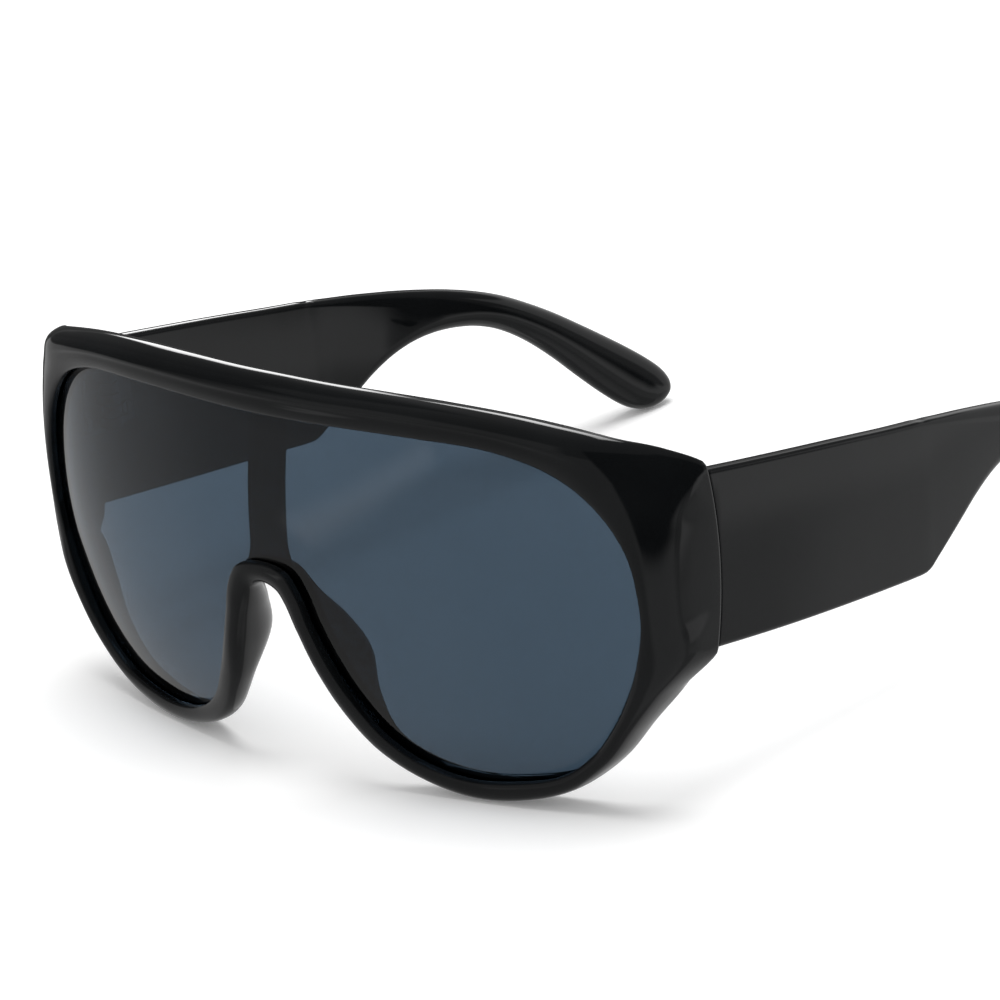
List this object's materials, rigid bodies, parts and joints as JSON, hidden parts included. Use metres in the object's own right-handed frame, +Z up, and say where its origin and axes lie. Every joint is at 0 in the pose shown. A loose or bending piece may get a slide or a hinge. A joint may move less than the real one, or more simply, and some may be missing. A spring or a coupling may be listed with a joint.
{
  "type": "oversized sunglasses",
  "caption": "One-piece shield sunglasses with a smoked lens, a raised brow, broad flat temples and curved ear hooks that fold inwards.",
  "frame": {"origin": "on the surface that the open glasses stand on, under the middle of their bounding box", "axes": "+Z up, the front faces -Y, the temples run towards +Y, +X is to the right seen from the front's outer side"},
  "size_m": [0.1468, 0.169, 0.0689],
  "materials": {
    "gloss_black": "polished gloss black injection-moulded plastic",
    "smoked_lens": "polished smoke-grey tinted plastic lens, see-through",
    "dark_steel": "dark plated steel"
  },
  "bodies": {
    "front": {"front_frame": "gloss_black", "lens": "smoked_lens", "front_hinge_leaf_left": "dark_steel", "front_hinge_leaf_right": "dark_steel", "hinge_screw_left": "dark_steel", "hinge_screw_right": "dark_steel", "front_leaf_screw_left_upper": "dark_steel", "front_leaf_screw_left_lower": "dark_steel", "front_leaf_screw_right_upper": "dark_steel", "front_leaf_screw_right_lower": "dark_steel"},
    "left_temple": {"temple_left": "gloss_black", "temple_hinge_leaf_left": "dark_steel", "temple_leaf_screw_left_upper": "dark_steel", "temple_leaf_screw_left_lower": "dark_steel"},
    "right_temple": {"temple_right": "gloss_black", "temple_hinge_leaf_right": "dark_steel", "temple_leaf_screw_right_upper": "dark_steel", "temple_leaf_screw_right_lower": "dark_steel"}
  },
  "joints": [
    {"name": "left_hinge", "type": "hinge", "parent": "front", "child": "left_temple", "pos_m": [-0.0674, -0.05186, 0.04603], "axis": [0, 0, -1], "range_deg": [0, 90]},
    {"name": "right_hinge", "type": "hinge", "parent": "front", "child": "right_temple", "pos_m": [0.0674, -0.05186, 0.04603], "axis": [0, 0, 1], "range_deg": [0, 84]}
  ]
}
